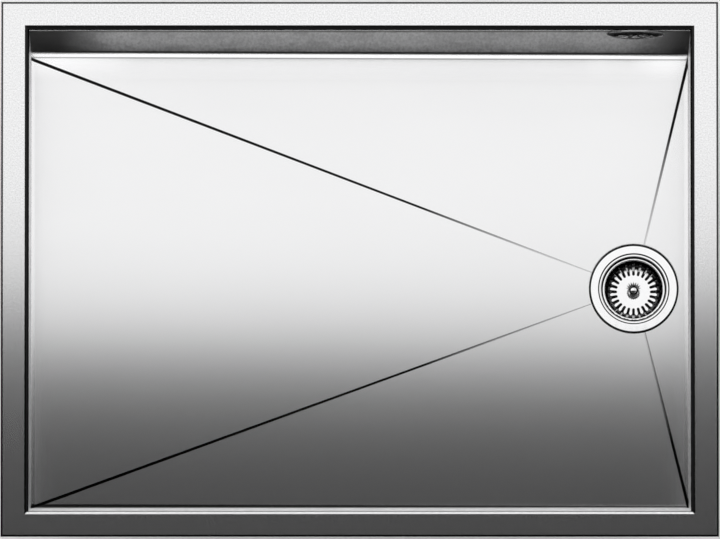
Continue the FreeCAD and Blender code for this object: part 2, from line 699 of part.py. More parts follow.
def build_basket():
    gauge = "basket_gauge"
    corner_x = "basket_low - basket_corner"
    corner_z = "basket_floor + basket_corner"
    inner = "basket_corner"
    outer = f"(basket_corner + {gauge})"
    body = turned("basket", [
        ("basket_radius", "-basket_drop - 1.5"),
        ("basket_radius", "-basket_drop - 0.8"),
        ("basket_radius - 0.8", "-basket_drop"),
        ("basket_inside + 0.9", "-basket_drop"),
        ("basket_inside", "-basket_drop - 0.9"),
        ("basket_low", corner_z),
        (f"{corner_x} + {inner} * cos(45)", f"{corner_z} - {inner} * sin(45)"),
        (corner_x, "basket_floor"),
        ("post_radius + 0.1", "basket_floor"),
        ("post_radius + 0.1", "stopper_top"),
        (corner_x, "stopper_top"),
        (f"{corner_x} + {outer} * cos(45)", f"{corner_z} - {outer} * sin(45)"),
        (f"basket_low + {gauge}", corner_z),
        (f"basket_inside + {gauge}", "-basket_drop - 1.5"),
    ])
    half = "slot_width / 2"
    sketch = new_sketch(body, "slot_outline", "XY_Plane", "stopper_top - 1")
    add_outline(sketch, [
        (f"slot_start + {half}", f"-{half}"), ("basket_radius + 2", f"-{half}"),
        ("basket_radius + 2", half), (f"slot_start + {half}", half)],
        {3: (f"slot_start + {half}", "0")})
    cut = feature(body, "Pocket", "slots", sketch, f"1 + {gauge} + slot_rise", reverse=True)
    around(body, cut, sketch, "slot_count")
    on_drain(body)


def build_basket_fittings():
    on_drain(turned("basket_knob", [
        ("post_radius", "basket_floor"),
        ("knob_radius", "basket_floor"),
        ("knob_radius", "basket_floor + 1.4"),
        ("knob_waist", "basket_floor + 3"),
        ("knob_waist", "knob_top - knob_dome - 2.4"),
        ("knob_radius", "knob_top - knob_dome - 0.8"),
        ("knob_radius", "knob_top - knob_dome"),
        ("knob_radius - knob_dome", "knob_top"),
        ("0", "knob_top"),
        ("0", "post_top"),
        ("post_radius", "post_top"),
    ], {6: ("knob_radius - knob_dome", "knob_top - knob_dome")}))
    on_drain(turned("basket_post", [
        ("0", "post_top"), ("post_radius", "post_top"), ("post_radius", "post_foot + 2"),
        ("post_radius - 0.8", "post_foot"), ("0", "post_foot")]))
    on_drain(turned("basket_stopper", [
        ("post_radius", "stopper_top"),
        ("stopper_hub_radius", "stopper_top"),
        ("stopper_hub_radius", "stopper_top - 1.8"),
        ("stopper_radius - 2", "stopper_hub_foot - 2.4"),
        ("stopper_radius", "stopper_foot"),
        ("stopper_radius - 1.6", "stopper_foot"),
        ("stopper_radius - 3.6", "stopper_hub_foot - 4"),
        ("stopper_hub_radius", "stopper_hub_foot"),
        ("post_radius", "stopper_hub_foot"),
    ]))
    nut = new_body("post_nut")
    sketch = new_sketch(nut, "post_nut_outline", "XY_Plane", "stopper_hub_foot")
    side = "nut_flats / 2 / cos(30)"
    corners = [(f"{side} * cos({turn})", f"{side} * sin({turn})") for turn in range(0, 360, 60)]
    add_outline(sketch, corners)
    add_circle(sketch, "0", "0", "post_radius")
    feature(nut, "Pad", "post_nut_blank", sketch, "nut_height", reverse=True)
    on_drain(nut)


def build_overflow():
    gauge = "cover_gauge"
    front = "-cover_proud"
    cover = turned("overflow_cover", [
        ("cover_screw_radius + 0.2", front),
        ("cover_radius - 9", front),
        ("cover_radius - 1.2", "-1.2"),
        ("cover_radius", "0"),
        ("cover_radius - 1.6", "0"),
        ("cover_radius - 9.2", f"{front} + {gauge}"),
        ("cover_screw_radius + 0.2", f"{front} + {gauge}"),
    ])
    half = "cover_slot_width / 2"
    sketch = new_sketch(cover, "cover_slot_outline", "XY_Plane", "-cover_proud - 1")
    stop = "cover_slot_start + cover_slot_length"
    add_outline(sketch, [
        ("cover_slot_start", f"-{half}"), (stop, f"-{half}"), (stop, half), ("cover_slot_start", half)],
        {1: (stop, "0"), 3: ("cover_slot_start", "0")})
    cut = feature(cover, "Pocket", "cover_slots", sketch, "cover_proud + 2", reverse=True)
    around(cover, cut, sketch, "cover_slot_count")
    on_overflow(cover)
    on_overflow(turned("overflow_screw", [
        ("0", f"{front} - 1.6"),
        ("cover_screw_head - 1", f"{front} - 1.6"),
        ("cover_screw_head", f"{front} - 0.7"),
        ("cover_screw_head", front),
        ("cover_screw_radius", front),
        ("cover_screw_radius", f"{front} + cover_screw_length"),
        ("0", f"{front} + cover_screw_length"),
    ]))
    on_overflow(turned("overflow_seal", [
        ("overflow_hole + 0.5", "sheet_gauge"), ("housing_radius - 0.3", "sheet_gauge"),
        ("housing_radius - 0.3", "housing_front"), ("overflow_hole + 0.5", "housing_front")]))
    build_housing()


def build_housing():
    inner = "housing_radius - housing_wall"
    floor = "housing_back - housing_wall"
    body = turned("overflow_housing", [
        (inner, "housing_front"),
        ("housing_radius", "housing_front"),
        ("housing_radius", "housing_back - 3"),
        ("housing_radius - 3", "housing_back"),
        ("0", "housing_back"),
        ("0", floor),
        (inner, floor),
    ])
    boss = new_sketch(body, "boss_outline", "XY_Plane", "housing_front + 2")
    add_circle(boss, "0", "0", "boss_radius")
    feature(body, "Pad", "boss", boss, "housing_depth - housing_wall")
    hole = new_sketch(body, "boss_hole_outline", "XY_Plane", "housing_front + 1")
    add_circle(hole, "0", "0", "cover_screw_radius + 0.1")
    feature(body, "Pocket", "boss_hole", hole, "cover_screw_length - housing_front - 1", reverse=True)
    spigot = new_sketch(body, "spigot_outline", "XZ_Plane", "-spigot_foot")
    add_circle(spigot, "0", "pipe_offset", "spigot_radius")
    feature(body, "Pad", "spigot", spigot, "spigot_length")
    way = new_sketch(body, "spigot_bore_outline", "XZ_Plane", "-spigot_foot - 1")
    add_circle(way, "0", "pipe_offset", "spigot_bore")
    feature(body, "Pocket", "spigot_way", way, "spigot_length + 8", reverse=True)
    on_overflow(body)


def build_pipe():
    body = new_body("overflow_pipe")
    path = new_sketch(body, "pipe_path", "YZ_Plane")
    top = ("pipe_y", "pipe_top")
    bend = ("pipe_y", "pipe_low + pipe_turn")
    level = ("pipe_y - pipe_turn", "pipe_low")
    end = ("port_y - spigot_grip", "pipe_low")
    places = [Vector(size(x), size(z), 0) for x, z in (top, bend, level, end)]
    centre = Vector(places[2].x, places[1].y, 0)
    sketch_arc = Part.ArcOfCircle(Part.Circle(centre, Vector(0, 0, 1), size("pipe_turn")),
                                  -math.pi / 2, 0)
    path.addGeometry(Part.LineSegment(places[0], places[1]), False)
    path.addGeometry(sketch_arc, False)
    path.addGeometry(Part.LineSegment(places[2], places[3]), False)
    path.addConstraint(Sketcher.Constraint("Coincident", 0, 2, 1, 2))
    path.addConstraint(Sketcher.Constraint("Coincident", 1, 1, 2, 1))
    pin(path, 0, 1, *top)
    pin(path, 0, 2, *bend)
    pin(path, 2, 1, *level)
    pin(path, 2, 2, *end)
    hold(path, "DistanceX", "pipe_y - pipe_turn", 1, 3)
    ring = new_sketch(body, "pipe_section", "XY_Plane", "pipe_top")
    add_circle(ring, "0", "pipe_y", "pipe_radius")
    add_circle(ring, "0", "pipe_y", "pipe_radius - pipe_wall")
    doc.recompute()
    tube = body.newObject("PartDesign::AdditivePipe", "pipe_tube")
    tube.Profile = ring
    tube.Spine = path
    doc.recompute()
    place(body, "drain_x")


def add_grips(nut):
    """Ribs along a union nut, for the hand."""
    half = "grip_width / 2"
    low = "pipe_nut_radius - 0.8"
    high = "pipe_nut_radius + grip_height"
    sketch = new_sketch(nut, nut.Label + "_grip", "XY_Plane", "-pipe_nut_grip")
    add_outline(sketch, [(low, f"-{half}"), (high, f"-{half}"), (high, half), (low, half)])
    rib = feature(nut, "Pad", nut.Label + "_rib", sketch, "pipe_nut_length - 2")
    around(nut, rib, sketch, "pipe_nut_grips")


def build_unions():
    """Union nut and seal at each end of the pipe; local Z runs from spigot to pipe."""
    ends = (
        ("upper", "pipe_y", "-overflow_drop - spigot_foot", (Vector(1, 0, 0), "180")),
        ("lower", "port_y", "pipe_low", (Vector(1, 0, 0), "-90")),
    )
    shoulder = "pipe_nut_length - pipe_nut_grip - pipe_nut_floor"
    for name, y, z, turn in ends:
        nut = turned("pipe_nut_" + name, [
            ("nut_bore", "-pipe_nut_grip"),
            ("pipe_nut_radius", "-pipe_nut_grip"),
            ("pipe_nut_radius", "pipe_nut_length - pipe_nut_grip - 1"),
            ("pipe_nut_radius - 1", "pipe_nut_length - pipe_nut_grip"),
            ("pipe_radius + pipe_gap", "pipe_nut_length - pipe_nut_grip"),
            ("pipe_radius + pipe_gap", shoulder),
            ("nut_bore", shoulder),
        ])
        add_grips(nut)
        place(nut, "drain_x", y, z, turn)
        seal = turned("pipe_seal_" + name, [
            ("pipe_radius", "0"), ("spigot_radius", "0"),
            ("spigot_radius", shoulder), ("pipe_radius", shoulder)])
        place(seal, "drain_x", y, z, turn)


def build_wall_mats():
    low = "-mat_top - mat_height"
    for label, side in (("mat_left", -1), ("mat_right", 1)):
        body = new_body(label)
        sketch = new_sketch(body, label + "_outline", "YZ_Plane", f"{side} * (bowl_x + sheet_gauge)")
        add_outline(sketch, [
            ("-mat_side / 2", "-mat_top"), ("mat_side / 2", "-mat_top"),
            ("mat_side / 2", low), ("-mat_side / 2", low)])
        feature(body, "Pad", label + "_sheet", sketch, "mat_gauge", reverse=side < 0)
    left = "-mat_long / 2 - mat_shift"
    right = "mat_long / 2 - mat_shift"
    outline = [(left, "-mat_top"), (right, "-mat_top"), (right, low), (left, low)]
    rear = new_body("mat_rear")
    sketch = new_sketch(rear, "mat_rear_outline", "XZ_Plane", "-bowl_y - sheet_gauge")
    add_outline(sketch, outline)
    feature(rear, "Pad", "mat_rear_sheet", sketch, "mat_gauge", reverse=True)
    front = new_body("mat_front")
    sketch = new_sketch(front, "mat_front_outline", "XZ_Plane", "sheet_gauge")
    add_outline(sketch, outline)
    feature(front, "Pad", "mat_front_sheet", sketch, "mat_gauge")
    place(front, "0", "-bowl_front", "0", (Vector(1, 0, 0), "front_lean"))


def build_floor_mats():
    """One mat under each of the three large floor planes."""
    spots = floor_corners()
    drain = spots["drain"]
    gap = size("mat_crease_gap")
    for label, start, stop, clear in (
            ("mat_floor_left", "left_front", "left_rear", "mat_left_gap"),
            ("mat_floor_front", "left_front", "right_front", "mat_strip_gap"),
            ("mat_floor_rear", "left_rear", "right_rear", "mat_strip_gap")):
        one = spots[start]
        two = spots[stop]
        along = (two - one).normalize()
        down = upward_normal(one, two, drain).negative()
        reach = drain.distanceToLine(one, along)
        lines = []
        for away in (size("mat_edge"), reach - size(clear)):
            share = away / reach
            first = one + (drain - one) * share + along * gap
            last = two + (drain - two) * share - along * gap
            lines.append((first, last))
        corners = [lines[0][0], lines[0][1], lines[1][1], lines[1][0]]
        corners = [corner + down * size("sheet_gauge") for corner in corners]
        face = Part.Face(Part.makePolygon(corners + corners[:1]))
        new_shape(label, face.extrude(down * size("mat_gauge")))


build_rim()
build_side_wall("wall_left", -1, "weld_left")
build_side_wall("wall_right", 1, "weld_right")
build_rear_wall()
build_front_wall()
build_floor()
build_strainer_cup()
build_rings()
build_waste_body()
build_cup_screw()
build_basket()
build_basket_fittings()
build_overflow()
build_pipe()
build_unions()
build_wall_mats()
build_floor_mats()
doc.recompute()

for item in doc.Objects:
    if "Invalid" in item.State or "Error" in item.State:
        raise RuntimeError(item.Label + " did not build")
for node in nodes:
    if node.Shape.isNull() or not node.Shape.isValid():
        raise RuntimeError(node.Label + " has no valid shape")
    node.Shape.exportStep("parts/" + node.Label + ".step")
    print(node.Label, len(node.Shape.Solids), round(node.Shape.Volume, 1))
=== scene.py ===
"""Looks of a single-bowl stainless steel sink with a basket strainer and an overflow."""

import math

import bmesh
import bpy
from bpy.props import FloatProperty, FloatVectorProperty, IntProperty, PointerProperty
from mathutils import Matrix, Vector


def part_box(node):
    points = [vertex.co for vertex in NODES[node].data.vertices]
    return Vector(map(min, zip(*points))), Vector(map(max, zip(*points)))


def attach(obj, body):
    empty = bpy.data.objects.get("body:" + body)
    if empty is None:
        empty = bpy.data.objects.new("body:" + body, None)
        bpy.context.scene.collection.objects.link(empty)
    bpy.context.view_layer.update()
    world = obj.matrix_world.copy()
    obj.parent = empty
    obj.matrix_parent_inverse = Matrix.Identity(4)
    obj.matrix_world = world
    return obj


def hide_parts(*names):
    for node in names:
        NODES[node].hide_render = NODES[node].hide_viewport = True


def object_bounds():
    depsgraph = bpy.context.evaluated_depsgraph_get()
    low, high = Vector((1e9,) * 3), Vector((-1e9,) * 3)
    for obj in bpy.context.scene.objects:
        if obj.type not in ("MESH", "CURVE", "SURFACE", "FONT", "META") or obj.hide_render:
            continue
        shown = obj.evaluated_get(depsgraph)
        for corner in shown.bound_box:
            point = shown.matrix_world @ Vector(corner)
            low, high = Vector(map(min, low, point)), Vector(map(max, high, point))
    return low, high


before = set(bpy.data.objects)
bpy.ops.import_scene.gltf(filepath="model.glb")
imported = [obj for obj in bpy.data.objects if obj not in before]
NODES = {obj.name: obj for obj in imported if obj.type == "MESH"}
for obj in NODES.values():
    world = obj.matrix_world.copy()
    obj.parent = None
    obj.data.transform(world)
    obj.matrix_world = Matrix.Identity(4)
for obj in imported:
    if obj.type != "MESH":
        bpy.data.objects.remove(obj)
CAD_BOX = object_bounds()

bl_info = {
    "name": "Stainless Sink",
    "version": (1, 0, 0),
    "blender": (4, 5, 0),
    "location": "View3D > Sidebar > Sink",
    "description": "Dresses a packed kitchen sink in sheet steel, rubber and moulded plastic",
    "category": "Object",
}

MM = 0.001

# Places, from the frame
RIM_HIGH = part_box("rim_frame")[1]
CUP_LOW, CUP_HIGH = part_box("strainer_cup")
DRAIN = Vector(((CUP_LOW.x + CUP_HIGH.x) / 2, (CUP_LOW.y + CUP_HIGH.y) / 2, CUP_HIGH.z))
COVER_LOW, COVER_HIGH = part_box("overflow_cover")
OVERFLOW = Vector(((COVER_LOW.x + COVER_HIGH.x) / 2, COVER_HIGH.y, (COVER_LOW.z + COVER_HIGH.z) / 2))
BOWL_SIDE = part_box("wall_right")[0].x
BOWL_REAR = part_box("wall_rear")[0].y
BOWL_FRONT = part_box("wall_left")[0].y

# The bowl's depth at its left and right ends, the upstand of the floor and the lean of the front wall
DEPTH_LEFT = 195 * MM
DEPTH_RIGHT = 215 * MM
UPSTAND = 10 * MM
FRONT_LEAN = math.tan(math.radians(7.4))
CREASE_INSET = 6.3 * MM

FLOOR_FALL = (DEPTH_RIGHT - DEPTH_LEFT) / (2 * BOWL_SIDE)
WELD_DEPTH = (DEPTH_LEFT + DEPTH_RIGHT) / 2 - UPSTAND
FRONT_LEFT = BOWL_FRONT + DEPTH_LEFT * FRONT_LEAN
FRONT_RIGHT = BOWL_FRONT + DEPTH_RIGHT * FRONT_LEAN
CREASE_REAR = BOWL_REAR - CREASE_INSET
FLOOR_CORNERS = (
    (-BOWL_SIDE, FRONT_LEFT), (-BOWL_SIDE, CREASE_REAR), (BOWL_SIDE, CREASE_REAR), (BOWL_SIDE, FRONT_RIGHT))

# Ribs between the slots of the basket, and the radius up to which the painted shade gives their inner ends
# a round outline
RIBS = 24
RIB_END = 27.5 * MM
RIB_ROUNDING = 6 * MM

# Faces that meet at a larger angle keep a sharp edge
SHARP = math.radians(40)

UP = (0, 0, 1)
RIGHT = (1, 0, 0)
REAR = (0, 1, 0)


class SteelSettings(bpy.types.PropertyGroup):
    """Colours and roughness of the steel."""

    satin: FloatVectorProperty(
        name="Satin steel", description="Colour of the rim", subtype="COLOR",
        default=(0.76, 0.76, 0.765), min=0, max=1)
    brushed: FloatVectorProperty(
        name="Brushed steel", description="Colour of the floor", subtype="COLOR",
        default=(0.78, 0.78, 0.785), min=0, max=1)
    # Painted light: the left and right walls are lighter than the front and rear walls
    side: FloatVectorProperty(
        name="Side steel", description="Colour of the left and right walls", subtype="COLOR",
        default=(0.92, 0.92, 0.925), min=0, max=1)
    wall: FloatVectorProperty(
        name="Wall steel", description="Colour of the front and rear walls", subtype="COLOR",
        default=(0.8, 0.8, 0.805), min=0, max=1)
    polished: FloatVectorProperty(
        name="Polished steel", description="Colour of the strainer and overflow cover", subtype="COLOR",
        default=(0.82, 0.82, 0.825), min=0, max=1)
    satin_rough: FloatProperty(
        name="Rim roughness", description="Roughness of the rim", default=0.25, min=0, max=1)
    brushed_rough: FloatProperty(
        name="Floor roughness", description="Roughness of the floor", default=0.2, min=0, max=1)
    wall_rough: FloatProperty(
        name="Wall roughness", description="Roughness of the walls", default=0.36, min=0, max=1)
    polished_rough: FloatProperty(
        name="Polish", description="Roughness of the polished pieces", default=0.09, min=0, max=1)


class SoftSettings(bpy.types.PropertyGroup):
    """Colours of rubber and plastic."""

    seal: FloatVectorProperty(
        name="Seal rubber", description="Colour of seals and stopper", subtype="COLOR",
        default=(0.028, 0.028, 0.029), min=0, max=1)
    mat: FloatVectorProperty(
        name="Mat rubber", description="Colour of the sound-deadening mats", subtype="COLOR",
        default=(0.13, 0.13, 0.135), min=0, max=1)
    plastic: FloatVectorProperty(
        name="Moulded plastic", description="Colour of the waste fittings", subtype="COLOR",
        default=(0.045, 0.045, 0.048), min=0, max=1)


class StrainerSettings(bpy.types.PropertyGroup):
    """Sizes of the strainer."""

    flange: FloatProperty(
        name="Flange radius", description="Outer edge of the strainer flange", unit="LENGTH",
        default=(CUP_HIGH.x - CUP_LOW.x) / 2)
    slots: IntProperty(
        name="Slots", description="Radial slots in the basket", default=RIBS, min=6, max=48)
    slot_width: FloatProperty(
        name="Slot width", description="Width of a slot", unit="LENGTH", default=2.8 * MM)
    slot_start: FloatProperty(
        name="Slot start", description="Radius at which a slot begins", unit="LENGTH", default=17.6 * MM)
    steps: IntProperty(
        name="Steps", description="Divisions round a turned piece", default=96, min=24, max=256)


class StageSettings(bpy.types.PropertyGroup):
    """Floor, light and camera."""

    floor: FloatVectorProperty(
        name="Floor", description="Colour of the studio floor", subtype="COLOR",
        default=(0.8, 0.8, 0.8), min=0, max=1)
    panel_height: FloatProperty(
        name="Panel height", description="Light panel above the rim", unit="LENGTH", default=0.7)
    panel_front: FloatProperty(
        name="Panel front", description="Front edge of the light panel", unit="LENGTH", default=0.048)
    panel_depth: FloatProperty(
        name="Panel depth", description="Light panel from front to rear", unit="LENGTH", default=0.9)
    panel_width: FloatProperty(
        name="Panel width", description="Light panel from left to right", unit="LENGTH", default=1.6)
    panel_level: FloatProperty(
        name="Panel level", description="Brightness of the light panel", default=1.13, min=0)
    horizon: FloatProperty(
        name="Horizon level", description="Brightness of the room at eye level", default=0.95, min=0)
    zenith: FloatProperty(
        name="Ceiling level", description="Brightness of the room overhead", default=0.042, min=0)
    fill_height: FloatProperty(
        name="Fill height", description="Soft fill light above the rim", unit="LENGTH", default=3)
    fill_size: FloatProperty(
        name="Fill size", description="Sides of the soft fill light", unit="LENGTH", default=5)
    fill_level: FloatProperty(
        name="Fill level", description="Brightness of the soft fill light", default=1.4, min=0)
    tilt: FloatProperty(
        name="Camera tilt", description="Lean of the camera towards the front", subtype="ANGLE",
        default=math.radians(7))
    distance: FloatProperty(
        name="Camera distance", description="Camera to the middle of the rim", unit="LENGTH", default=27.3)
    view_width: FloatProperty(
        name="View width", description="Width of the view at the rim", unit="LENGTH", default=0.7646)
    aim: FloatVectorProperty(
        name="Aim", description="Spot in the plane of the rim that the camera faces", subtype="TRANSLATION",
        default=(0.27 * MM, -0.64 * MM, 0))


SETTINGS = (
    ("sink_steel", SteelSettings),
    ("sink_soft", SoftSettings),
    ("sink_strainer", StrainerSettings),
    ("sink_stage", StageSettings),
)


# Materials

class Finish:
    """A material in the making: a Principled shader and a chain of texture nodes."""

    def __init__(self, name, colour, roughness, metal=0.0):
        self.material = bpy.data.materials.new(name)
        self.material.use_nodes = True
        self.tree = self.material.node_tree
        self.shader = self.tree.nodes["Principled BSDF"]
        self.shader.inputs["Base Color"].default_value = (*colour, 1)
        self.shader.inputs["Roughness"].default_value = roughness
        self.shader.inputs["Metallic"].default_value = metal
        self.colour = tuple(colour)
        self.coords = self.node("ShaderNodeTexCoord")

    def node(self, kind, **inputs):
        made = self.tree.nodes.new(kind)
        for key, value in inputs.items():
            made.inputs[key.replace("_", " ")].default_value = value
        return made

    def join(self, source, target):
        self.tree.links.new(source, target)

    def noise(self, stretch, detail=2.0, roughness=0.5):
        """Noise on the object's own coordinates; stretch is grains per metre along each axis."""
        mapping = self.node("ShaderNodeMapping", Scale=stretch)
        self.join(self.coords.outputs["Object"], mapping.inputs["Vector"])
        texture = self.node("ShaderNodeTexNoise", Scale=1.0, Detail=detail, Roughness=roughness)
        self.join(mapping.outputs["Vector"], texture.inputs["Vector"])
        return texture.outputs["Fac"]

    def spread(self, source, low, high, start=0.25, stop=0.75):
        """Values from start to stop laid over a range from low to high."""
        made = self.node("ShaderNodeMapRange")
        for name, value in (("From Min", start), ("From Max", stop), ("To Min", low), ("To Max", high)):
            made.inputs[name].default_value = value
        self.join(source, made.inputs["Value"])
        return made.outputs["Result"]

    def feed(self, value, socket):
        """Link what comes from a node, and set a number or a direction."""
        if isinstance(value, bpy.types.NodeSocket):
            self.join(value, socket)
        else:
            socket.default_value = value

    def math(self, kind, one, two):
        """Two values, or a value and a number, put together."""
        made = self.node("ShaderNodeMath")
        made.operation = kind
        self.feed(one, made.inputs[0])
        self.feed(two, made.inputs[1])
        return made.outputs["Value"]

    def vector(self, kind, one, two=None):
        """A vector, alone or put together with a second vector or a scale."""
        made = self.node("ShaderNodeVectorMath")
        made.operation = kind
        self.feed(one, made.inputs[0])
        if two is not None:
            self.feed(two, made.inputs["Scale" if kind == "SCALE" else 1])
        return made.outputs["Value" if kind in ("DOT_PRODUCT", "LENGTH") else "Vector"]

    def absolute(self, value):
        return self.math("ABSOLUTE", value, 0)

    def rest_of(self, value):
        """What a share leaves of one."""
        return self.math("SUBTRACT", 1, value)

    def times(self, first, *others):
        for other in others:
            first = self.math("MULTIPLY", first, other)
        return first

    def most(self, first, *others):
        for other in others:
            first = self.math("MAXIMUM", first, other)
        return first

    def lie(self, facing, flat, lean=0.0):
        """Shade the surface as if it lay flatter by a share; a lean below nought tips it to the front."""
        upward = self.node("ShaderNodeCombineXYZ")
        self.join(flat, upward.inputs["Z"])
        self.join(self.times(flat, lean), upward.inputs["Y"])
        true = self.vector("SCALE", facing, self.rest_of(flat))
        total = self.vector("ADD", upward.outputs["Vector"], true)
        self.join(self.vector("NORMALIZE", total), self.shader.inputs["Normal"])

    def seen_from(self, spot):
        """The object's own coordinates, counted from a spot."""
        mapping = self.node("ShaderNodeMapping", Location=[-value for value in spot])
        self.join(self.coords.outputs["Object"], mapping.inputs["Vector"])
        return mapping.outputs["Vector"]

    def along(self, vector, direction):
        """How far a vector reaches in a direction."""
        return self.vector("DOT_PRODUCT", vector, direction)

    def radius(self, spot, across=(1, 1, 0)):
        """Distance from an axis through a spot, in metres; across has a nought for the axis."""
        return self.vector("LENGTH", self.vector("MULTIPLY", self.seen_from(spot), across))

    def steps(self, value, scale, stops):
        """Grey levels laid along a length up to a scale; stops are places, in millimetres, and levels."""
        share = self.math("MULTIPLY", value, 1 / scale)
        ramp = self.node("ShaderNodeValToRGB")
        elements = ramp.color_ramp.elements
        for _ in stops[2:]:
            elements.new(0.5)
        for element, (position, level) in zip(elements, stops):
            element.position = position / (scale / MM)
            element.color = (level, level, level, 1)
        self.join(share, ramp.inputs["Fac"])
        return ramp.outputs["Color"]

    def facing(self):
        """Direction that the surface faces."""
        return self.node("ShaderNodeNewGeometry").outputs["Normal"]

    def tint(self, share, glancing=None):
        """Multiply the colour, and the sheen at a glancing angle, by values that vary over the surface."""
        for colour, value, target in (
                (self.colour, share, "Base Color"), ((1, 1, 1), glancing, "Specular Tint")):
            if value is not None:
                self.join(self.vector("SCALE", colour, value), self.shader.inputs[target])

    def rough(self, value):
        self.join(value, self.shader.inputs["Roughness"])

    def bump(self, height, strength, depth):
        made = self.node("ShaderNodeBump", Strength=strength, Distance=depth)
        self.join(height, made.inputs["Height"])
        self.join(made.outputs["Normal"], self.shader.inputs["Normal"])


def inner_side(finish, spot, facing):
    """One on faces that look towards the middle of the bowl, nought on the outside."""
    return finish.spread(finish.along(spot, facing), 1, 0, -0.4 * MM, 0.0)


def satin_steel(settings):
    """Fine, slightly grainy sheet of the rim, with painted shade in its bends and along its cut edge."""
    finish = Finish("satin_steel", settings.satin, settings.satin_rough, 1.0)
    grain = finish.noise((600, 600, 600), 3.0, 0.6)
    spot = finish.coords.outputs["Object"]
    facing = finish.facing()
    rounded = finish.spread(finish.along(facing, UP), 1, 0, 0.997, 0.9995)
    bend_only = finish.spread(finish.along(spot, UP), 0, 1, -4.9 * MM, -4.3 * MM)
    not_front = finish.spread(finish.along(facing, REAR), 1, 0, 0.02, 0.12)
    # Painted shade in the bends and along the cut edge darkens the colour and the glancing sheen
    dark = finish.times(rounded, bend_only, inner_side(finish, spot, facing), not_front, 0.98)
    for way, edge in ((RIGHT, RIM_HIGH.x), (REAR, RIM_HIGH.y)):
        away = finish.absolute(finish.along(spot, way))
        dark = finish.most(dark, finish.spread(away, 0, 0.93, edge - 2.2 * MM, edge - 1.8 * MM))
    light = finish.rest_of(dark)
    finish.tint(finish.times(finish.spread(grain, 0.86, 1.12), light), light)
    finish.rough(finish.spread(grain, settings.satin_rough - 0.02, settings.satin_rough + 0.02))
    finish.bump(grain, 0.08, 0.02 * MM)
    return finish.material


def painted_crease_shade(finish, spot, corner):
    """Painted shade along a pressed line from the drain to a corner of the floor, black at the corner,
    paler at the drain.
    """
    way = Vector((corner[0] - DRAIN.x, corner[1] - DRAIN.y, 0))
    length = way.length
    way.normalize()
    along = finish.along(spot, way)
    across = finish.absolute(finish.along(spot, (-way.y, way.x, 0)))
    half = finish.spread(along, 0.9 * MM, 1.7 * MM, 0.0, length)
    line = finish.spread(finish.math("SUBTRACT", across, half), 1, 0, -0.3 * MM, 0.3 * MM)
    # Painted shade, darker towards the corner of the floor
    pale, black = 0.01 + 0.06 * length, 0.13 + 0.16 * length
    depth = finish.spread(along, 0.06, 0.99, pale, black)
    clear_of_drain = finish.math("GREATER_THAN", along, 40 * MM)
    return finish.times(line, depth, clear_of_drain)


def flat_share(finish, facing):
    """How much flatter the floor is shaded: most where it is nearly level, less in its coves."""
    upright = finish.along(facing, UP)
    sideways = finish.absolute(finish.along(facing, RIGHT))
    endways = finish.absolute(finish.along(facing, REAR))
    side = finish.math("GREATER_THAN", sideways, endways)
    cove = finish.times(finish.spread(upright, 0, 1, 0.16, 0.3), finish.spread(side, 0.88, 0.75, 0, 1))
    return finish.most(finish.spread(upright, 0, 0.92, 0.98, 0.995), cove)


def painted_floor_shade(finish, rearward, facing):
    """Painted shade: dark lines along the floor's creases and where it turns up at the front and rear
    edges.
    """
    spot = finish.seen_from((DRAIN.x, DRAIN.y, 0))
    upright = finish.along(facing, UP)
    upper = finish.math("GREATER_THAN", upright, 0.02)
    cove_foot = finish.spread(upright, 0, 1, 0.35, 0.5)
    # Painted shade at the foot of the front wall, along the rear cove and along the creases
    front = finish.times(finish.spread(rearward, 0.92, 0, -229.8 * MM, -228.6 * MM), cove_foot)
    rear_line = BOWL_REAR - 4.5 * MM
    off_line = finish.absolute(finish.math("SUBTRACT", rearward, rear_line))
    rear = finish.spread(off_line, 0.5, 0, 0.4 * MM, 1.0 * MM)
    creases = [painted_crease_shade(finish, spot, corner) for corner in FLOOR_CORNERS]
    return finish.most(front, finish.times(finish.most(rear, *creases), upper))


def brushed_steel(settings):
    """Floor sheet, brushed from left to right, with painted shade along its creases and its turned-up front
    and rear edges.

    Near the rear wall it is glossier, painted lighter in colour as painted light, and shaded with a lean to
    the front."""
    finish = Finish("brushed_steel", settings.brushed, settings.brushed_rough, 1.0)
    strokes = finish.noise((6, 500, 500), 4.0, 0.6)
    clouds = finish.noise((4, 9, 9), 2.0)
    spot = finish.coords.outputs["Object"]
    rearward = finish.along(spot, REAR)
    sideways = finish.absolute(finish.along(spot, RIGHT))
    facing = finish.facing()
    grain = finish.math("ADD", finish.spread(strokes, -0.004, 0.004), finish.spread(clouds, 0.985, 1.01))
    # Painted light: the floor's colour is lighter towards the rear wall
    painted_rear_light = finish.spread(rearward, 1, 1.22, 228 * MM, 250 * MM)
    finish.tint(finish.times(grain, painted_rear_light, finish.rest_of(painted_floor_shade(finish, rearward, facing))))
    rough = finish.spread(strokes, settings.brushed_rough - 0.004, settings.brushed_rough + 0.004)
    finish.rough(finish.times(rough, finish.spread(rearward, 1, 0.75, 200 * MM, 240 * MM)))
    corners = finish.spread(sideways, 1, 1.35, 240 * MM, 320 * MM)
    close = finish.spread(rearward, 1, 1.6, 235 * MM, 248 * MM)
    lean = finish.times(finish.spread(rearward, 0, -0.035, 100 * MM, 220 * MM), corners, close)
    finish.lie(facing, flat_share(finish, facing), lean)
    return finish.material


def side_steel(settings):
    """The left and right walls, lighter in colour than the front and rear walls as painted light."""
    return wall_finish("side_steel", settings.side, settings.wall_rough)


def front_steel(settings):
    """The front wall is rougher, and shaded flatter than it stands."""
    return wall_finish("front_steel", settings.wall, settings.wall_rough + 0.2, flat=0.62)


def rear_steel(settings):
    """The rear wall has painted shade towards its ends, and is shaded as if it hung over the floor."""
    return wall_finish(
        "rear_steel", settings.wall, settings.wall_rough, glancing=1.05, ends=0.015, flat=-0.14)


